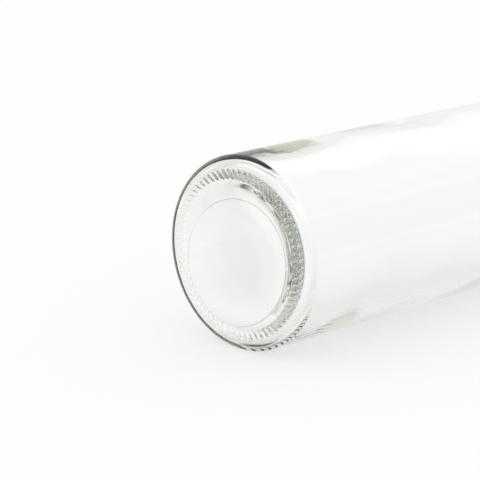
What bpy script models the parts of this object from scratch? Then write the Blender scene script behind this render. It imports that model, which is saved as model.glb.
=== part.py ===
"""A clear glass bottle with a ribbed base and a rolled-on screw cap, lying on its side.

The bottle lies along +Y with its base towards -Y, and rests on the plane z = 0.
Every piece is turned about one axis, so each is drawn as an outline of radius
against station, where the station runs along the bottle from base to mouth.
"""
import math
from collections import namedtuple

import bmesh
import bpy

# Glass body, in metres
body_diameter = 0.075
mouth_height = 0.300
straight_height = 0.184
shoulder_radius = 0.027
neck_blend_radius = 0.020
neck_root_diameter = 0.0294
body_wall = 0.0022
bore_diameter = 0.0185
lip_outer_radius = 0.0010
lip_inner_radius = 0.0007
straight_bore_depth = 0.026

# Base of the glass
heel_radius = 0.0043
rib_ring_width = 0.0048
rib_height = 0.0007
rib_side_slope_width = 0.00065
rib_count = 72
rib_slant_pitches = 0.9
pushup_depth = 0.00655
inner_heel_radius = 0.0022
floor_at_ring = 0.00185
floor_rise = 0.0108

# Outline of the push-up from its middle outwards, as shares of the ring's inner
# radius and of the push-up's depth
pushup_shares = ((0.0, 1.0), (0.282, 0.939), (0.493, 0.786), (0.669, 0.573), (0.810, 0.359), (0.915, 0.176))

# Outline of the floor from the inner heel to its middle, as shares of the radius
# where the heel's curve ends and of the floor's rise
floor_shares = ((0.955, 0.042), (0.876, 0.167), (0.795, 0.338), (0.707, 0.528), (0.604, 0.690),
                (0.453, 0.838), (0.242, 0.958), (0.0, 1.0))

# Screw finish at the mouth
finish_root_diameter = 0.0249
thread_height = 0.00125
ridge_half_width = 0.0013
thread_lead = 0.0042
thread_turns = 1.5
thread_fade_turns = 0.09
land_above_thread = 0.0023
bead_half_width = 0.0016
neck_below_band = 0.0020
neck_top_diameter = 0.0258

# Cap shell, liner and tamper band
running_clearance = 0.00035
seat_gap = 0.0003
cap_wall = 0.00045
cap_corner_radius = 0.0012
cap_ridge_depth = 0.0009
cap_thread_turns = 1.25
skirt_margin = 0.0006
liner_thickness = 0.0015
score_gap = 0.0004
skirt_above_bead = 0.0001
band_tuck_height = 0.0011
band_hem_height = 0.0008

# How finely the curves are divided
cap_segments = 64
heel_steps = 4
shoulder_steps = 5
lip_steps = 3
corner_steps = 3
bead_steps = 6
rows_per_lead = 7

# Colours
glass_colour = (0.93, 0.965, 0.945, 1.0)
glass_index = 1.52
glass_roughness = 0.02
aluminium_colour = (0.80, 0.81, 0.82, 1.0)
aluminium_roughness = 0.32
liner_colour = (0.93, 0.93, 0.91, 1.0)
liner_roughness = 0.55

# Values that follow from the ones above
body_radius = body_diameter / 2
bearing_radius = body_radius - heel_radius
ring_inner_radius = bearing_radius - rib_ring_width
finish_root = finish_root_diameter / 2
thread_crest = finish_root + thread_height
thread_length = thread_lead * thread_turns
thread_top_depth = land_above_thread + ridge_half_width
thread_bottom_depth = thread_top_depth + thread_length
cap_thread_length = thread_lead * cap_thread_turns
cap_thread_bottom_depth = thread_top_depth + thread_lead / 2 + cap_thread_length
skirt_depth = cap_thread_bottom_depth + ridge_half_width + skirt_margin
bead_depth = skirt_depth + skirt_above_bead + bead_half_width
bead_end_depth = bead_depth + bead_half_width
band_top_depth = skirt_depth + score_gap
band_end_depth = bead_end_depth + band_tuck_height + band_hem_height
neck_top_depth = band_end_depth + neck_below_band
cap_inner_radius = thread_crest + running_clearance
cap_outer_radius = cap_inner_radius + cap_wall
cap_inner_corner = cap_corner_radius - cap_wall
liner_top = seat_gap + liner_thickness
cap_ceiling = liner_top + seat_gap
cap_top = cap_ceiling + cap_wall
total_length = mouth_height + cap_top
axis_height = body_radius * math.cos(math.pi / rib_count)

# A ring of points: its radius, its station, the height of the thread's relief
# there, and how far it is turned about the axis, counted in segments.
Row = namedtuple("Row", "radius station relief swing", defaults=(0.0, 0.0))


def arc_rows(centre_radius, centre_station, radius, start_degrees, end_degrees, steps):
    """Rows along a round corner, without its first point."""
    rows = []
    for step in range(1, steps + 1):
        turn = math.radians(start_degrees + (end_degrees - start_degrees) * step / steps)
        rows.append(Row(centre_radius + radius * math.cos(turn),
                        centre_station + radius * math.sin(turn)))
    return rows


def bump(distance, half_width):
    """A smooth hill of height 1, which ends at half_width on each side."""
    if abs(distance) >= half_width:
        return 0.0
    return math.cos(math.pi * distance / (2 * half_width)) ** 2


def thread_share(angle, station, start, turns):
    """How much of the thread's height stands at a point, for a right-hand thread."""
    best = 0.0
    for lap in range(math.ceil(turns) + 1):
        done = angle / math.tau + lap
        if not 0 <= done <= turns:
            continue
        fade = min(1.0, done / thread_fade_turns, (turns - done) / thread_fade_turns)
        middle = start + thread_lead * done
        best = max(best, fade * bump(station - middle, ridge_half_width))
    return best


def turned_bmesh(rows, segments, start=0.0, turns=0.0, closed=False):
    """Turn an outline about the local Z axis. The outside is followed upwards."""
    mesh = bmesh.new()
    rings = []
    for row in rows:
        if row.radius == 0:
            rings.append([mesh.verts.new((0, 0, row.station))])
            continue
        ring = []
        for segment in range(segments):
            angle = math.tau * (segment + 1 / 2 + row.swing) / segments
            radius = row.radius
            if row.relief:
                share = thread_share(angle % math.tau, row.station, start, turns)
                radius += row.relief * share
            ring.append(mesh.verts.new((radius * math.cos(angle),
                                        radius * math.sin(angle), row.station)))
        rings.append(ring)
    pairs = list(zip(rings, rings[1:]))
    if closed:
        pairs.append((rings[-1], rings[0]))
    for lower, upper in pairs:
        for segment in range(segments):
            following = (segment + 1) % segments
            if len(lower) == 1:
                corners = (lower[0], upper[following], upper[segment])
            elif len(upper) == 1:
                corners = (lower[segment], lower[following], upper[0])
            else:
                corners = (lower[segment], lower[following], upper[following], upper[segment])
            mesh.faces.new(corners)
    return mesh


def material(name, colour, roughness, metallic=0.0, transmission=0.0):
    """A Principled material with one plain colour."""
    made = bpy.data.materials.new(name)
    made.use_nodes = True
    shader = made.node_tree.nodes["Principled BSDF"]
    shader.inputs["Base Color"].default_value = colour
    shader.inputs["Roughness"].default_value = roughness
    shader.inputs["Metallic"].default_value = metallic
    shader.inputs["Transmission Weight"].default_value = transmission
    if transmission:
        shader.inputs["IOR"].default_value = glass_index
    made.diffuse_color = colour
    return made


def add_piece(name, mesh, finish, parent, station):
    """Make a named object from a bmesh and stand it on the bottle's axis."""
    data = bpy.data.meshes.new(name)
    mesh.to_mesh(data)
    mesh.free()
    data.shade_smooth()
    data.set_sharp_from_angle(angle=math.radians(35))
    data.materials.append(finish)
    piece = bpy.data.objects.new(name, data)
    bpy.context.scene.collection.objects.link(piece)
    piece.parent = parent
    piece.location = (0, 0, station)
    return piece


def base_rows():
    """Outside of the base, from its centre to the ring of ribs."""
    rows = [Row(ring_inner_radius * across, rib_height + pushup_depth * up, 0.0, rib_slant_pitches)
            for across, up in pushup_shares]
    rows.append(Row(ring_inner_radius, rib_height, 0.0, rib_slant_pitches))
    rows.append(Row(bearing_radius, rib_height))
    return rows


def shoulder_rows(inset):
    """Shoulder and neck root as two tangent arcs, inset from the outside."""
    rise_radius = shoulder_radius - inset
    fall_radius = neck_blend_radius + inset
    rise_centre = body_radius - shoulder_radius
    fall_centre = neck_root_diameter / 2 + neck_blend_radius
    reach = shoulder_radius + neck_blend_radius
    lean = math.degrees(math.acos((fall_centre - rise_centre) / reach))
    neck_root_height = straight_height + reach * math.sin(math.radians(lean))
    rows = [Row(rise_centre + rise_radius, straight_height)]
    rows += arc_rows(rise_centre, straight_height, rise_radius, 0, lean, shoulder_steps)
    rows += arc_rows(fall_centre, neck_root_height, fall_radius, 180 + lean, 180, shoulder_steps)
    return rows


def finish_rows():
    """Outside of the mouth: neck top, locking bead, thread and lip."""
    rows = [Row(neck_top_diameter / 2, mouth_height - neck_top_depth),
            Row(finish_root, mouth_height - band_end_depth)]
    for step in range(bead_steps + 1):
        offset = bead_half_width * (2 * step / bead_steps - 1)
        rows.append(Row(finish_root + thread_height * bump(offset, bead_half_width),
                        mouth_height - bead_depth + offset))
    thread_low = mouth_height - thread_bottom_depth - ridge_half_width
    thread_high = mouth_height - land_above_thread
    count = round((thread_high - thread_low) / thread_lead * rows_per_lead)
    for step in range(count + 1):
        station = thread_low + (thread_high - thread_low) * step / count
        rows.append(Row(finish_root, station, thread_height))
    rows.append(Row(finish_root, mouth_height - lip_outer_radius))
    rows += arc_rows(finish_root - lip_outer_radius, mouth_height - lip_outer_radius,
                     lip_outer_radius, 0, 90, lip_steps)
    return rows


def inside_rows():
    """Inside of the glass, from the lip down to the middle of the floor."""
    bore = bore_diameter / 2
    rows = [Row(bore + lip_inner_radius, mouth_height)]
    rows += arc_rows(bore + lip_inner_radius, mouth_height - lip_inner_radius,
                     lip_inner_radius, 90, 180, lip_steps)
    rows.append(Row(bore, mouth_height - straight_bore_depth))
    rows += reversed(shoulder_rows(body_wall))
    inner_radius = body_radius - body_wall
    heel_centre = inner_radius - inner_heel_radius
    floor_low = rib_height + floor_at_ring
    heel_height = floor_low + inner_heel_radius
    rows.append(Row(inner_radius, heel_height))
    rows += arc_rows(heel_centre, heel_height, inner_heel_radius, 0, -90, heel_steps)
    rows += [Row(heel_centre * across, floor_low + floor_rise * up) for across, up in floor_shares]
    return rows


def glass_bottle(finish, parent):
    """The blown bottle: one shell of glass, open at the mouth."""
    base = base_rows()
    heel = arc_rows(bearing_radius, rib_height + heel_radius, heel_radius, -90, 0, heel_steps)
    rows = base + heel + shoulder_rows(0.0) + finish_rows() + inside_rows()
    thread_start = mouth_height - thread_bottom_depth
    mesh = turned_bmesh(rows, rib_count, thread_start, thread_turns)
    add_ribs(mesh)
    return add_piece("glass_bottle", mesh, finish, parent, 0.0)


def add_ribs(mesh):
    """Raise one slanted rib on each flat face of the bearing ring."""
    mesh.normal_update()
    ring_faces = []
    for face in mesh.faces:
        middle = face.calc_center_median()
        reach = math.hypot(middle.x, middle.y)
        on_ring = ring_inner_radius < reach < bearing_radius and face.normal.z < 0
        if on_ring and all(abs(corner.co.z - rib_height) < rib_height / 100 for corner in face.verts):
            ring_faces.append(face)
    bmesh.ops.inset_individual(mesh, faces=ring_faces, thickness=rib_side_slope_width,
                               depth=rib_height, use_even_offset=True)


def cap_thread_rows(radius):
    """The rolled thread of the cap, at one of its two surfaces, from the skirt up."""
    low = -cap_thread_bottom_depth - ridge_half_width
    high = low + cap_thread_length + 2 * ridge_half_width
    count = round((high - low) / thread_lead * rows_per_lead)
    rows = [Row(radius, -skirt_depth)]
    for step in range(count + 1):
        rows.append(Row(radius, low + (high - low) * step / count, -cap_ridge_depth))
    return rows


def cap_shell(finish, parent):
    """The aluminium shell, its thread rolled into the one on the glass."""
    inner_centre = cap_inner_radius - cap_inner_corner
    corner_station = cap_top - cap_corner_radius
    inside = arc_rows(inner_centre, corner_station, cap_inner_corner, 90, 0, corner_steps)
    outside = arc_rows(inner_centre, corner_station, cap_corner_radius, 0, 90, corner_steps)
    rows = [Row(0.0, cap_ceiling), Row(inner_centre, cap_ceiling)]
    rows += inside + list(reversed(cap_thread_rows(cap_inner_radius)))
    rows += cap_thread_rows(cap_outer_radius) + [Row(cap_outer_radius, corner_station)]
    rows += outside + [Row(0.0, cap_top)]
    mesh = turned_bmesh(rows, cap_segments, -cap_thread_bottom_depth, cap_thread_turns)
    return add_piece("cap_shell", mesh, finish, parent, mouth_height)


def cap_liner(finish, parent):
    """The soft disc that seals on the lip."""
    radius = cap_inner_radius - cap_inner_corner
    rows = [Row(0.0, 0.0), Row(radius, 0.0), Row(radius, liner_thickness), Row(0.0, liner_thickness)]
    mesh = turned_bmesh(rows, cap_segments)
    return add_piece("cap_liner", mesh, finish, parent, mouth_height + seat_gap)


def tamper_band(finish, parent):
    """The ring left on the neck, tucked in under the locking bead."""
    tuck_inner = finish_root + running_clearance
    tuck_outer = tuck_inner + cap_wall
    hem_top = -band_end_depth + band_hem_height
    rows = [Row(tuck_inner, -band_end_depth), Row(tuck_outer, -band_end_depth), Row(tuck_outer, hem_top),
            Row(cap_outer_radius, -bead_end_depth), Row(cap_outer_radius, -band_top_depth),
            Row(cap_inner_radius, -band_top_depth), Row(cap_inner_radius, -bead_end_depth),
            Row(tuck_inner, hem_top)]
    mesh = turned_bmesh(rows, cap_segments, closed=True)
    return add_piece("tamper_band", mesh, finish, parent, mouth_height)


def main():
    """Clear the scene and build the four pieces on one axis."""
    for old in list(bpy.data.objects):
        bpy.data.objects.remove(old, do_unlink=True)
    axis = bpy.data.objects.new("bottle_axis", None)
    bpy.context.scene.collection.objects.link(axis)
    axis.location = (0, -total_length / 2, axis_height)
    axis.rotation_euler = (math.radians(-90), 0, 0)
    glass = material("clear_glass", glass_colour, glass_roughness, transmission=1.0)
    shell = material("cap_aluminium", aluminium_colour, aluminium_roughness, metallic=1.0)
    band = material("band_aluminium", aluminium_colour, aluminium_roughness, metallic=1.0)
    disc = material("liner_plastic", liner_colour, liner_roughness)
    glass_bottle(glass, axis)
    cap_shell(shell, axis)
    cap_liner(disc, axis)
    tamper_band(band, axis)


main()
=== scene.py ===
"""A clear glass bottle with a ribbed base and an aluminium screw cap, on its side.

Everything is in metres, in the frame of the solid model: the bottle lies along
+Y with its base towards -Y, and the floor is z = 0. Every piece is turned about
the bottle's axis, so each is drawn as an outline of radius against station,
where the station runs along the bottle from its base to its mouth.
"""
import math
from collections import namedtuple

import bpy
from mathutils import Matrix, Vector, noise


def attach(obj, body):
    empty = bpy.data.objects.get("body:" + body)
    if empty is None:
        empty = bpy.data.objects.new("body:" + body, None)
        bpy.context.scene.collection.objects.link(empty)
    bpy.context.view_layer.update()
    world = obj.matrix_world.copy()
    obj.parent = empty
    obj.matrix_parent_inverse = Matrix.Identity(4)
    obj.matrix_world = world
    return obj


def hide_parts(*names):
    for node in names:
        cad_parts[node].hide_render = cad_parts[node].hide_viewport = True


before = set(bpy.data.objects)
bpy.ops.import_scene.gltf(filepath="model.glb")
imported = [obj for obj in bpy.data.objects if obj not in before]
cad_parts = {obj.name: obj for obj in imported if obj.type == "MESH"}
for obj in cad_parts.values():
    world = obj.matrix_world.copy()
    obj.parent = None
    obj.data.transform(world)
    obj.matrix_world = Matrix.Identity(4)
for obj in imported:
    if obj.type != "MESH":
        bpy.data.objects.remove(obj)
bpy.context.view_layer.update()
scene = bpy.context.scene

# Sizes shared with the solid model
body_radius = 0.03746
mouth_height = 0.300
straight_height = 0.184
shoulder_radius = 0.027
neck_blend_radius = 0.020
neck_root_radius = 0.0147
body_wall = 0.0022
heel_radius = 0.0043
total_length = 0.30255
base_plane = -total_length / 2
mouth_plane = base_plane + mouth_height
axis_height = 0.037464

# Mouth of the glass, its depths counted down from the lip
neck_top_radius = 0.0129
neck_top_depth = 0.02035
finish_root = 0.01245
finish_root_depth = 0.01835
bead_depth = 0.01485
bead_half_width = 0.0016
thread_height = 0.00125
ridge_half_width = 0.0013
thread_lead = 0.0042
thread_turns = 1.5
thread_fade_turns = 0.09
thread_top_depth = 0.0036
land_above_thread = 0.0023
lip_outer_radius = 0.0010
lip_inner_radius = 0.0007
bore_radius = 0.00925
straight_bore_depth = 0.026

# Ribs of the base, and the fine mottle of their cut
rib_count = 72
rib_height = 0.0007
rib_inner_radius = 0.0280
rib_outer_radius = 0.0329
rib_fade = 0.0014
rib_slant = 0.9
rib_flat_share = 0.05
rib_foot_share = 0.30
mottle_height = 0.0002
mottle_size = 0.0014
mottle_inner_edge = (0.0278, 0.0292)
mottle_outer_edge = (0.0325, 0.0332)

# Outlines of the base, each point (radius, station) in millimetres
base_outside = [
    (0, 7.25), (8, 6.85), (14, 5.85), (19, 4.45), (23, 3.05),
    (26, 1.85), (28, 1.05), (28.8, 0.75), (30, 0.7), (33.2, 0.7)]
inside_low = [
    (35.26, 6.75), (35.24, 5.25), (35.1, 4.15), (34.75, 3.25), (34.1, 2.75), (33.2, 2.55),
    (32.2, 2.75), (30.8, 3.4), (29, 4.35), (27.2, 5.55), (25.3, 6.95), (23.4, 8.25),
    (21, 9.55), (17, 11.05), (12, 12.25), (6, 13.05), (0, 13.35)]

# How finely the glass is divided
points_per_rib = 10
outside_count = rib_count * points_per_rib
inside_count = outside_count // 4
base_steps = (2, 3, 3, 4, 5, 6, 6, 8, 14)
inner_heel_spans = 5
inner_heel_steps = 5
inside_steps = (inner_heel_steps,) * inner_heel_spans + (12,) * 11
floor_start = inner_heel_spans * inner_heel_steps
heel_steps = 18
shoulder_steps = 16
wall_rows = 60
bead_steps = 12
thread_steps = 36
lip_outer_steps = 6
lip_inner_steps = 5
floor_steps = 24
mark_steps = 8

# Unevenness of the blown wall: lobes round it, twist by the metre, offset and share
wall_waves = [(2, 60, 0.0, 1.0), (3, -95, 1.0, 0.6), (5, 140, 2.0, 0.5)]
wave_height = 0.00012
wave_low_end = (0.010, 0.030)
wave_high_end = (0.170, 0.200)

# Fine round ridge on the floor inside, a little off the axis
mark_radius = 0.0248
mark_half_width = 0.00022
mark_height = 0.00015
mark_side = -0.0043
mark_rise = 0.0045

# Cap, its stations counted from the plane of the mouth
cap_inner_radius = 0.01405
cap_wall = 0.00045
cap_outer_radius = cap_inner_radius + cap_wall
cap_top = 0.00255
cap_corner = 0.0012
cap_thread_start = -0.01095
cap_thread_turns = 1.25
cap_thread_fade_turns = 0.14
cap_ridge_depth = 0.0009
skirt_end = -0.01285
cut_edge_bulge = 0.00008
cut_edge_shares = (0.3, 0.7)
flute_count = 72
flute_depth = 0.00022
flute_low = -0.0026
flute_high = 0.0011
flute_fade = 0.0006
cap_ceiling_ring = 0.006
cap_face_ring = 0.005
cap_groove = [
    (0.0122, 0.0), (0.0118, 0.00012), (0.0112, 0.00016), (0.0106, 0.00012), (0.0102, 0.0)]
points_per_flute = 4
cap_count = flute_count * points_per_flute
skirt_steps = 90
cap_inner_corner_steps = 5
cap_corner_steps = 9
sharp_degrees = 50

# Thin bridges between cap and band, torn in the middle
bridge_count = 8
bridge_height = 0.00013
bridge_half_angle = 0.055
bridge_flat_share = 0.6

# Liner, with the groove that the lip has pressed into it as (radius, depth)
liner_radius = 0.0133
liner_low = 0.0003
liner_high = 0.0018
liner_edge = 0.0002
liner_edge_steps = 4
liner_groove = [
    (0.0096, 0.0), (0.0099, 0.00006), (0.0107, 0.0001), (0.0115, 0.00006), (0.0118, 0.0)]
liner_count = 96

# Band, each point (radius, station from the plane of the mouth) in millimetres
band_outline = [
    (12.9, -18.05), (13.15, -18.05), (13.25, -17.95), (13.25, -17.25), (13.75, -16.85),
    (14.3, -16.35), (14.5, -15.85), (14.5, -14.8), (14.38, -14.6), (14.38, -14.2),
    (14.5, -14.0), (14.5, -13.35), (14.4, -13.25), (14.15, -13.25), (14.05, -13.35),
    (14.05, -15.85), (13.85, -16.25), (13.2, -16.95), (12.8, -17.35), (12.8, -17.95)]
band_torn_edge = -13.35

Row = namedtuple("Row", "radius station relief side rise", defaults=(0.0, 0.0, 0.0))


def smooth_step(low, high, value):
    """Rises from 0 at low to 1 at high."""
    share = min(1.0, max(0.0, (value - low) / (high - low)))
    return share * share * (3 - 2 * share)


def bump(distance, half_width):
    """A smooth hill of height 1, which ends at half_width on each side."""
    if abs(distance) >= half_width:
        return 0.0
    return math.cos(math.pi * distance / (2 * half_width)) ** 2


def arc(centre_radius, centre_station, radius, start_degrees, end_degrees, steps):
    """Rows along a round corner, without its first point."""
    rows = []
    for step in range(1, steps + 1):
        turn = math.radians(start_degrees + (end_degrees - start_degrees) * step / steps)
        rows.append(Row(centre_radius + radius * math.cos(turn),
                        centre_station + radius * math.sin(turn)))
    return rows


def curve(points, steps):
    """Rows on a smooth curve through points in millimetres, with steps for each span."""
    knots = [Vector(point) for point in points]
    knots = [2 * knots[0] - knots[1]] + knots + [2 * knots[-1] - knots[-2]]
    rows = []
    for index in range(1, len(knots) - 2):
        a, b, c, d = knots[index - 1:index + 3]
        times = [0.0]
        for one, two in ((a, b), (b, c), (c, d)):
            times.append(times[-1] + max((two - one).length, 1e-6) ** 0.5)
        for step in range(steps[index - 1]):
            t = times[1] + (times[2] - times[1]) * step / steps[index - 1]
            ab = a.lerp(b, (t - times[0]) / (times[1] - times[0]))
            bc = b.lerp(c, (t - times[1]) / (times[2] - times[1]))
            cd = c.lerp(d, (t - times[2]) / (times[3] - times[2]))
            abc = ab.lerp(bc, (t - times[0]) / (times[2] - times[0]))
            bcd = bc.lerp(cd, (t - times[1]) / (times[3] - times[1]))
            point = abc.lerp(bcd, (t - times[1]) / (times[2] - times[1]))
            rows.append(Row(max(0.0, point.x) / 1000, point.y / 1000))
    last = knots[-2]
    rows.append(Row(last.x / 1000, last.y / 1000))
    return rows


def thread_share(angle, station, start, turns, fade_turns):
    """How much of the thread's height stands at a point, for a right-hand thread."""
    best = 0.0
    for lap in range(math.ceil(turns) + 1):
        done = angle / math.tau + lap
        if 0 <= done <= turns:
            fade = min(1.0, done / fade_turns, (turns - done) / fade_turns)
            middle = start + thread_lead * done
            best = max(best, fade * bump(station - middle, ridge_half_width))
    return best


class Skin:
    """Collects the rings of a turned surface and the faces between them."""

    def __init__(self):
        self.points = []
        self.faces = []
        self.last = None

    def ring(self, row, count, shape=None):
        """Add a ring of points and join it to the one before."""
        number = 1 if row.radius <= 0 else count
        ring = []
        for step in range(number):
            angle = math.tau * step / number
            radius, station = row.radius, row.station
            if shape:
                radius, station = shape(row, angle)
            ring.append(len(self.points))
            self.points.append((row.side + radius * math.cos(angle),
                                row.rise + radius * math.sin(angle), station))
        if self.last:
            self.join(self.last, ring)
        self.last = ring

    def join(self, lower, upper):
        """Faces between two rings, the counts of which may differ by a whole factor."""
        few, many = len(upper), len(lower)
        if many == 1:
            self.faces += [(lower[0], upper[(k + 1) % few], upper[k]) for k in range(few)]
        elif few == 1:
            self.faces += [(lower[k], lower[(k + 1) % many], upper[0]) for k in range(many)]
        elif many == few:
            for k in range(few):
                n = (k + 1) % few
                self.faces.append((lower[k], lower[n], upper[n], upper[k]))
        else:
            share = many // few
            for k in range(few):
                n = (k + 1) % few
                fan = [lower[(k * share + step) % many] for step in range(share + 1)]
                for step in range(share):
                    tip = upper[k] if step < share // 2 else upper[n]
                    self.faces.append((fan[step], fan[step + 1], tip))
                self.faces.append((upper[k], fan[share // 2], upper[n]))


def add_piece(name, skin, plane, finish, body, replaced, sharp=None):
    """Lay a skin along the bottle's axis, give it its finish and say what it stands for."""
    points = [(x, plane + z, axis_height - y) for x, y, z in skin.points]
    mesh = bpy.data.meshes.new(name)
    mesh.from_pydata(points, [], skin.faces)
    mesh.update()
    mesh.shade_smooth()
    if sharp:
        mesh.set_sharp_from_angle(angle=math.radians(sharp))
    mesh.materials.append(finish)
    piece = bpy.data.objects.new(name, mesh)
    scene.collection.objects.link(piece)
    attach(piece, body)
    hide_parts(replaced)


def rib_share(radius, angle):
    """How much of a rib's height stands at a point of the base."""
    inside = smooth_step(rib_inner_radius, rib_inner_radius + rib_fade, radius)
    outside = 1 - smooth_step(rib_outer_radius - rib_fade, rib_outer_radius, radius)
    across = (radius - rib_inner_radius) / (rib_outer_radius - rib_inner_radius)
    phase = angle * rib_count / math.tau + rib_slant * across
    off = abs((phase + 0.5) % 1.0 - 0.5)
    return inside * outside * (1 - smooth_step(rib_flat_share, rib_foot_share, off))


def rib_shape(row, angle):
    """A point of the base, with the ribs standing on it and the fine mottle of their cut."""
    radius = row.radius
    spot = Vector((radius * math.cos(angle), radius * math.sin(angle), 0)) / mottle_size
    cut = smooth_step(*mottle_inner_edge, radius) * (1 - smooth_step(*mottle_outer_edge, radius))
    lift = rib_height * rib_share(radius, angle) + mottle_height * cut * noise.noise(spot)
    return radius, row.station - lift


def thread_shape(row, angle):
    """A point of the mouth, with the thread standing on it."""
    start = mouth_height - thread_top_depth - thread_lead * thread_turns
    share = thread_share(angle, row.station, start, thread_turns, thread_fade_turns)
    return row.radius + row.relief * share, row.station


def wave_shape(row, angle):
    """A point of the inside of the body, which is never quite round in blown glass."""
    station = row.station
    wave = sum(share * math.sin(lobes * angle + twist * station + offset)
               for lobes, twist, offset, share in wall_waves)
    inside = smooth_step(*wave_low_end, station) * (1 - smooth_step(*wave_high_end, station))
    return row.radius + wave_height * wave * inside, station


# The inside of the heel and of the base, which the floor's rings take their height from
low_rows = curve(inside_low, inside_steps)


def floor_rows():
    """Rings of the floor inside, which close in on the middle of the fine round mark on it."""
    start = low_rows[floor_start].radius
    edge = mark_radius + mark_half_width
    inner = edge - 2 * mark_half_width
    radii = [start + (edge - start) * step / floor_steps for step in range(1, floor_steps)]
    radii += [edge - 2 * mark_half_width * step / mark_steps for step in range(mark_steps + 1)]
    radii += [inner * (1 - step / floor_steps) for step in range(1, floor_steps + 1)]
    rows = []
    for radius in radii:
        moved = min(1.0, (start - radius) / (start - edge))
        rows.append(Row(radius, 0.0, 0.0, mark_side * moved, mark_rise * moved))
    return rows


def floor_shape(row, angle):
    """A point of the floor inside, at the height that its distance from the axis gives."""
    side = row.side + row.radius * math.cos(angle)
    rise = row.rise + row.radius * math.sin(angle)
    distance = math.hypot(side, rise)
    station = low_rows[-1].station
    for outer, inner in zip(low_rows[floor_start:], low_rows[floor_start + 1:]):
        if inner.radius <= distance <= outer.radius:
            share = (outer.radius - distance) / (outer.radius - inner.radius)
            station = outer.station + (inner.station - outer.station) * share
            break
    return row.radius, station + mark_height * bump(row.radius - mark_radius, mark_half_width)


def shoulder_rows(inset):
    """Shoulder and neck root as two tangent arcs, inset from the outside."""
    rise_centre = body_radius - shoulder_radius
    fall_centre = neck_root_radius + neck_blend_radius
    reach = shoulder_radius + neck_blend_radius
    lean = math.degrees(math.acos((fall_centre - rise_centre) / reach))
    root_height = straight_height + reach * math.sin(math.radians(lean))
    rise = shoulder_radius - inset
    fall = neck_blend_radius + inset
    rows = [Row(rise_centre + rise, straight_height)]
    rows += arc(rise_centre, straight_height, rise, 0, lean, shoulder_steps)
    rows += arc(fall_centre, root_height, fall, 180 + lean, 180, shoulder_steps)
    return rows


def finish_rows():
    """Outside of the mouth: neck top, locking bead, thread and lip, then its bore."""
    rows = [Row(neck_top_radius, mouth_height - neck_top_depth),
            Row(finish_root, mouth_height - finish_root_depth)]
    for step in range(bead_steps + 1):
        offset = bead_half_width * (2 * step / bead_steps - 1)
        rows.append(Row(finish_root + thread_height * bump(offset, bead_half_width),
                        mouth_height - bead_depth + offset))
    low = mouth_height - thread_top_depth - thread_lead * thread_turns - ridge_half_width
    high = mouth_height - land_above_thread
    for step in range(thread_steps + 1):
        rows.append(Row(finish_root, low + (high - low) * step / thread_steps, thread_height))
    rows.append(Row(finish_root, mouth_height - lip_outer_radius))
    rows += arc(finish_root - lip_outer_radius, mouth_height - lip_outer_radius,
                lip_outer_radius, 0, 90, lip_outer_steps)
    rows.append(Row(bore_radius + lip_inner_radius, mouth_height))
    rows += arc(bore_radius + lip_inner_radius, mouth_height - lip_inner_radius,
                lip_inner_radius, 90, 180, lip_inner_steps)
    rows.append(Row(bore_radius, mouth_height - straight_bore_depth))
    return rows


def glass_bottle(finish):
    """The whole bottle as one closed skin, from the middle of its base to the floor inside."""
    skin = Skin()
    base = curve(base_outside, base_steps)
    for row in base:
        skin.ring(row, outside_count, rib_shape)
    heel = base[-1]
    for row in arc(heel.radius, heel.station + heel_radius, heel_radius, -90, 0, heel_steps):
        skin.ring(row, outside_count)
    shoulder = shoulder_rows(0.0)
    skin.ring(shoulder[0], outside_count)
    for row in shoulder[1:]:
        skin.ring(row, inside_count)
    for row in finish_rows():
        skin.ring(row, inside_count, thread_shape)
    for row in reversed(shoulder_rows(body_wall)):
        skin.ring(row, inside_count)
    top, bottom = straight_height, low_rows[0].station
    for step in range(1, wall_rows):
        row = Row(body_radius - body_wall, top + (bottom - top) * step / wall_rows)
        skin.ring(row, inside_count, wave_shape)
    for row in low_rows[:floor_start + 1]:
        skin.ring(row, inside_count, wave_shape)
    for row in floor_rows():
        skin.ring(row, inside_count, floor_shape)
    add_piece("bottle_glass", skin, base_plane, finish, "bottle", "glass_bottle")


def bridge_share(angle):
    """Where the thin bridges between cap and band were torn."""
    pitch = math.tau / bridge_count
    off = (angle + pitch / 2) % pitch - pitch / 2
    return 1 - smooth_step(bridge_half_angle * bridge_flat_share, bridge_half_angle, abs(off))


def cap_shape(row, angle):
    """A point of the shell: the rolled thread, the flutes and the torn bridges."""
    radius, station = row.radius, row.station
    radius -= cap_ridge_depth * thread_share(angle, station, cap_thread_start,
                                             cap_thread_turns, cap_thread_fade_turns)
    if row.relief:
        band = smooth_step(flute_low, flute_low + flute_fade, station)
        band *= 1 - smooth_step(flute_high - flute_fade, flute_high, station)
        radius -= row.relief * band * (0.5 - 0.5 * math.cos(angle * flute_count)) ** 2
    if station <= skirt_end:
        station -= bridge_height * bridge_share(angle)
    return radius, station


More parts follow.
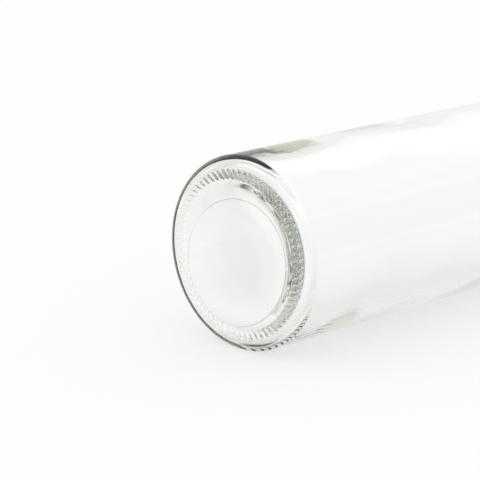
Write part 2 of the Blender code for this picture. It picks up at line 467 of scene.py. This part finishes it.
def cap_metal(finish):
    """The rolled-on aluminium shell, from its ceiling round its cut edge to its top."""
    inner_corner = cap_corner - cap_wall
    inner_centre = cap_inner_radius - inner_corner
    corner_station = cap_top - cap_corner
    ceiling = cap_top - cap_wall
    skirt = [skirt_end + (corner_station - skirt_end) * step / skirt_steps
             for step in range(skirt_steps + 1)]
    rows = [Row(0.0, ceiling), Row(cap_ceiling_ring, ceiling), Row(inner_centre, ceiling)]
    rows += arc(inner_centre, corner_station, inner_corner, 90, 0, cap_inner_corner_steps)
    rows += [Row(cap_inner_radius, station) for station in reversed(skirt[:-1:2])]
    rows += [Row(cap_inner_radius + cap_wall * share, skirt_end - cut_edge_bulge)
             for share in cut_edge_shares]
    rows += [Row(cap_outer_radius, station, flute_depth) for station in skirt]
    rows += arc(inner_centre, corner_station, cap_corner, 0, 90, cap_corner_steps)
    rows += [Row(radius, cap_top - depth) for radius, depth in cap_groove]
    rows += [Row(cap_face_ring, cap_top), Row(0.0, cap_top)]
    skin = Skin()
    for row in rows:
        skin.ring(row, cap_count, cap_shape)
    add_piece("cap_metal", skin, mouth_plane, finish, "cap", "cap_shell",
              sharp_degrees)


def liner_disc(finish):
    """The soft disc, with the groove that the lip has pressed into it."""
    rows = [Row(0.0, liner_low)]
    rows += [Row(radius, liner_low + depth) for radius, depth in liner_groove]
    rows += arc(liner_radius - liner_edge, liner_low + liner_edge, liner_edge, -90, 0,
                liner_edge_steps)
    rows += arc(liner_radius - liner_edge, liner_high - liner_edge, liner_edge, 0, 90,
                liner_edge_steps)
    rows.append(Row(0.0, liner_high))
    skin = Skin()
    for row in rows:
        skin.ring(row, liner_count)
    add_piece("liner_disc", skin, mouth_plane, finish, "liner", "cap_liner")


def band_shape(row, angle):
    """A point of the band, with the other halves of the torn bridges."""
    return row.radius, row.station + row.relief * bridge_share(angle)


def band_metal(finish):
    """The ring left on the neck, tucked in under the locking bead."""
    skin = Skin()
    first = None
    for radius, station in band_outline:
        torn = bridge_height if station >= band_torn_edge else 0.0
        skin.ring(Row(radius / 1000, station / 1000, torn), cap_count, band_shape)
        first = first or skin.last
    skin.join(skin.last, first)
    add_piece("band_metal", skin, mouth_plane, finish, "band", "tamper_band",
              sharp_degrees)


def new_material(name):
    """A new material with its node tree and its Principled shader."""
    made = bpy.data.materials.new(name)
    made.use_nodes = True
    return made, made.node_tree, made.node_tree.nodes["Principled BSDF"]


def node(tree, kind, **settings):
    """Add a node and set its properties."""
    made = tree.nodes.new(kind)
    for name, value in settings.items():
        setattr(made, name, value)
    return made


def fine_bump(tree, shader, scale, detail, strength, distance, stretch=(1, 1, 1)):
    """Give the shader a fine noise relief, measured in the object's own metres."""
    place = node(tree, "ShaderNodeTexCoord")
    mapping = node(tree, "ShaderNodeMapping")
    mapping.inputs["Scale"].default_value = stretch
    grain = node(tree, "ShaderNodeTexNoise")
    grain.inputs["Scale"].default_value = scale
    grain.inputs["Detail"].default_value = detail
    relief = node(tree, "ShaderNodeBump")
    relief.inputs["Strength"].default_value = strength
    relief.inputs["Distance"].default_value = distance
    tree.links.new(place.outputs["Object"], mapping.inputs["Vector"])
    tree.links.new(mapping.outputs["Vector"], grain.inputs["Vector"])
    tree.links.new(grain.outputs["Fac"], relief.inputs["Height"])
    tree.links.new(relief.outputs["Normal"], shader.inputs["Normal"])
    return grain.outputs["Fac"]


def colour_ramp(tree, shader, value, low, high):
    """Colour the shader between two stops, each (position, red, green, blue)."""
    colours = node(tree, "ShaderNodeValToRGB")
    for element, (position, *colour) in zip(colours.color_ramp.elements, (low, high)):
        element.position = position
        element.color = (*colour, 1)
    tree.links.new(value, colours.inputs["Fac"])
    tree.links.new(colours.outputs["Color"], shader.inputs["Base Color"])


def glass_finish():
    """Clear container glass: smooth, faintly wavy, grey-green where light runs along it."""
    made, tree, shader = new_material("clear_glass")
    shader.inputs["Base Color"].default_value = (1, 1, 1, 1)
    shader.inputs["Roughness"].default_value = 0.0
    shader.inputs["IOR"].default_value = 1.52
    shader.inputs["Transmission Weight"].default_value = 1.0
    fine_bump(tree, shader, scale=90, detail=2.0, strength=0.08, distance=0.0004)
    tint = node(tree, "ShaderNodeVolumeAbsorption")
    tint.inputs["Color"].default_value = (0.953, 0.962, 0.938, 1)
    tint.inputs["Density"].default_value = 50.0
    tree.links.new(tint.outputs["Volume"], tree.nodes["Material Output"].inputs["Volume"])
    return made


def metal_finish(name):
    """Satin aluminium under clear lacquer, with rolling marks and slight scuffs."""
    made, tree, shader = new_material(name)
    grain = fine_bump(tree, shader, scale=2400, detail=4.0, strength=0.10, distance=0.00005,
                      stretch=(1, 0.12, 1))
    colour_ramp(tree, shader, grain, (0.3, 0.627, 0.6303, 0.6336), (0.7, 0.66, 0.6633, 0.6699))
    scuffs = node(tree, "ShaderNodeMapRange")
    scuffs.inputs["To Min"].default_value = 0.24
    scuffs.inputs["To Max"].default_value = 0.34
    tree.links.new(grain, scuffs.inputs["Value"])
    tree.links.new(scuffs.outputs["Result"], shader.inputs["Roughness"])
    shader.inputs["Metallic"].default_value = 1.0
    shader.inputs["Coat Weight"].default_value = 0.3
    shader.inputs["Coat Roughness"].default_value = 0.12
    return made


def liner_finish():
    """Fine white foam."""
    made, tree, shader = new_material("liner_foam")
    grain = fine_bump(tree, shader, scale=2600, detail=2.0, strength=0.25, distance=0.0001)
    colour_ramp(tree, shader, grain, (0.0, 0.87, 0.87, 0.85), (1.0, 0.95, 0.95, 0.93))
    shader.inputs["Roughness"].default_value = 0.55
    return made


# Parts of the studio as seen from the bottle, all angles in degrees: painted highlights and
# painted shade that only glass and metal see
Part = namedtuple("Part", "bearing height half_width softness brightness")
world_level = 0.85
painted_world_parts = [
    Part(30, 0, 60, 12, 0.9),
    Part(357, 42, 16, 6, 1.06),
    Part(16, 39, 9, 4, 1.15),
    Part(178, 30, 16, 8, 0.5),
    Part(227, 30, 40, 20, 0.7)]

# Painted light and shade on the sheet, as glass and metal see it: brighter far off, and less so
# again where it meets the world
sheet_level = 0.98
painted_sheet_parts = [
    Part(0, 90, 94.6, 0.8, 1.12),
    Part(0, 90, 91.7, 0.8, 0.9)]

# Painted shade that runs on over world and sheet alike, as glass and metal see them: a darker
# side of the studio and the bottle's painted shadow on the sheet near its contact
painted_shade_parts = [
    Part(142, -12, 32, 8, 0.55),
    Part(148, -6, 20, 5, 0.08),
    Part(130, -34, 11, 4, 0.15),
    Part(140, -68, 14, 6, 0.12),
    Part(132, 36, 14, 5, 1.0),
    Part(250, -76, 14, 6, 0.05),
    Part(110, -29, 8, 4, 0.95)]

# The sheet: half its width in metres, how much of it glows for the rays that
# meet it straight and for those passed on, and how much light its paper returns
sheet_size = 4.0
glow_for_camera = 0.68
glow_passed_on = 0.7
paper_level = 0.97


def rays_seen(tree):
    """Two values: 1 for camera rays, and 1 for the rays that mirrors and glass send on."""
    path = node(tree, "ShaderNodeLightPath")
    either = node(tree, "ShaderNodeMath", operation="MAXIMUM")
    tree.links.new(path.outputs["Is Glossy Ray"], either.inputs[0])
    tree.links.new(path.outputs["Is Transmission Ray"], either.inputs[1])
    return path.outputs["Is Camera Ray"], either.outputs[0]


def direction(bearing, height):
    """A unit vector from the bottle, the bearing counted from +Y towards -X."""
    turn, lift = math.radians(bearing), math.radians(height)
    return (-math.sin(turn) * math.cos(lift), math.cos(turn) * math.cos(lift), math.sin(lift))


def mix_value(tree, share, low, high):
    """A value between low and high, each a number or a socket."""
    mixed = node(tree, "ShaderNodeMix", data_type="FLOAT")
    factor, first, second = mixed.inputs[0], mixed.inputs[2], mixed.inputs[3]
    for socket, value in ((factor, share), (first, low), (second, high)):
        if isinstance(value, (int, float)):
            socket.default_value = value
        else:
            tree.links.new(value, socket)
    return mixed.outputs[0]


def ramp_value(tree, value, low, high):
    """A smooth step from 0 at low to 1 at high."""
    edge = node(tree, "ShaderNodeMapRange", interpolation_type="SMOOTHSTEP")
    edge.inputs["From Min"].default_value = low
    edge.inputs["From Max"].default_value = high
    tree.links.new(value, edge.inputs["Value"])
    return edge.outputs["Result"]


def shaded_parts(tree, vector, level, parts):
    """The brightness in a direction: a level, with each part laid over those before it."""
    shade = level
    for part in parts:
        along = node(tree, "ShaderNodeVectorMath", operation="DOT_PRODUCT")
        along.inputs[1].default_value = direction(part.bearing, part.height)
        tree.links.new(vector, along.inputs[0])
        outer = math.cos(math.radians(part.half_width + part.softness))
        inner = math.cos(math.radians(max(0, part.half_width - part.softness)))
        share = ramp_value(tree, along.outputs["Value"], outer, inner)
        shade = mix_value(tree, share, shade, part.brightness)
    return shade


def studio_floor():
    """A large white sheet. Glass and metal see painted light and shade on it, which falls off
    into a painted dark side and the bottle's painted shadow.
    """
    mesh = bpy.data.meshes.new("floor")
    corners = [(-sheet_size, -sheet_size, 0), (sheet_size, -sheet_size, 0),
               (sheet_size, sheet_size, 0), (-sheet_size, sheet_size, 0)]
    mesh.from_pydata(corners, [], [(0, 1, 2, 3)])
    sheet = bpy.data.objects.new("floor", mesh)
    scene.collection.objects.link(sheet)
    made, tree, unused = new_material("white_sheet")
    tree.nodes.remove(unused)
    place = node(tree, "ShaderNodeTexCoord")
    away = node(tree, "ShaderNodeVectorMath", operation="SUBTRACT")
    away.inputs[1].default_value = (0, base_plane, axis_height)
    tree.links.new(place.outputs["Object"], away.inputs[0])
    heading = node(tree, "ShaderNodeVectorMath", operation="NORMALIZE")
    tree.links.new(away.outputs["Vector"], heading.inputs[0])
    camera_ray, passed_on = rays_seen(tree)
    # Painted light and shade on the sheet, with the bottle's painted shadow, for glass and metal
    # rays only
    painted_sheet_shade = shaded_parts(tree, heading.outputs["Vector"], sheet_level,
                          painted_sheet_parts + painted_shade_parts)
    shade = mix_value(tree, passed_on, 1.0, painted_sheet_shade)
    matt = node(tree, "ShaderNodeBsdfDiffuse")
    glow = node(tree, "ShaderNodeEmission")
    paper = node(tree, "ShaderNodeMath", operation="MULTIPLY")
    paper.inputs[1].default_value = paper_level
    tree.links.new(shade, paper.inputs[0])
    tree.links.new(paper.outputs[0], matt.inputs["Color"])
    tree.links.new(shade, glow.inputs["Strength"])
    both = node(tree, "ShaderNodeMixShader")
    seen = mix_value(tree, camera_ray, 0.0, glow_for_camera)
    tree.links.new(mix_value(tree, passed_on, seen, glow_passed_on), both.inputs["Fac"])
    tree.links.new(matt.outputs["BSDF"], both.inputs[1])
    tree.links.new(glow.outputs["Emission"], both.inputs[2])
    tree.links.new(both.outputs["Shader"], tree.nodes["Material Output"].inputs["Surface"])
    mesh.materials.append(made)


def studio_world():
    """A white studio. Glass and metal see painted highlights and painted shade in it, which
    light nothing else.
    """
    world = bpy.data.worlds.new("studio")
    scene.world = world
    world.use_nodes = True
    tree = world.node_tree
    background = tree.nodes["Background"]
    place = node(tree, "ShaderNodeTexCoord")
    # Painted highlights and painted shade, which only glass and metal see
    shade = shaded_parts(tree, place.outputs["Generated"], world_level,
                         painted_world_parts + painted_shade_parts)
    passed_on = rays_seen(tree)[1]
    tree.links.new(mix_value(tree, passed_on, 1.0, shade), background.inputs["Color"])
    background.inputs["Strength"].default_value = 1.0


# The camera, from the photograph's perspective in pixels from the picture's middle:
# its focal length, how far up the horizon is and how far right the bottle's axis
# runs out, where the middle of the base is, and its distance in body radii
picture_size = 480
focal_length = 2340.4
horizon_up = 583.5
axis_end_right = 2337.1
base_right = -3.976
base_up = -15.389
base_distance = 23.283 * 0.0375
sensor_width = 36


def photo_camera():
    """The camera at the photograph's viewing angle, placed from the middle of the base."""
    pitch = math.atan(horizon_up / focal_length)
    level_reach = math.hypot(horizon_up, focal_length)
    bearing = math.asin(axis_end_right / math.hypot(axis_end_right, level_reach))
    ahead = Vector((-math.sin(bearing), math.cos(bearing), 0))
    right = Vector((math.cos(bearing), math.sin(bearing), 0))
    up = Vector((0, 0, 1))
    view = ahead * math.cos(pitch) - up * math.sin(pitch)
    above = ahead * math.sin(pitch) + up * math.cos(pitch)
    pixel = base_distance / focal_length
    base = Vector((0, base_plane, axis_height))
    lens = bpy.data.cameras.new("camera")
    lens.sensor_width = sensor_width
    lens.lens = focal_length / picture_size * sensor_width
    lens.clip_start = 0.01
    camera = bpy.data.objects.new("camera", lens)
    turn = Matrix((right, above, -view)).transposed().to_4x4()
    turn.translation = base - (right * (base_right * pixel) + above * (base_up * pixel)
                               + view * base_distance)
    camera.matrix_world = turn
    scene.collection.objects.link(camera)
    scene.camera = camera


glass_bottle(glass_finish())
cap_metal(metal_finish("cap_satin"))
liner_disc(liner_finish())
band_metal(metal_finish("band_satin"))
studio_floor()
studio_world()
photo_camera()
scene.view_settings.view_transform = "Standard"

# Light that runs along the wall of the glass turns back and forth in it many times
bounce_limit = 110
scene.cycles.max_bounces = bounce_limit
scene.cycles.transmission_bounces = bounce_limit
scene.cycles.glossy_bounces = bounce_limit
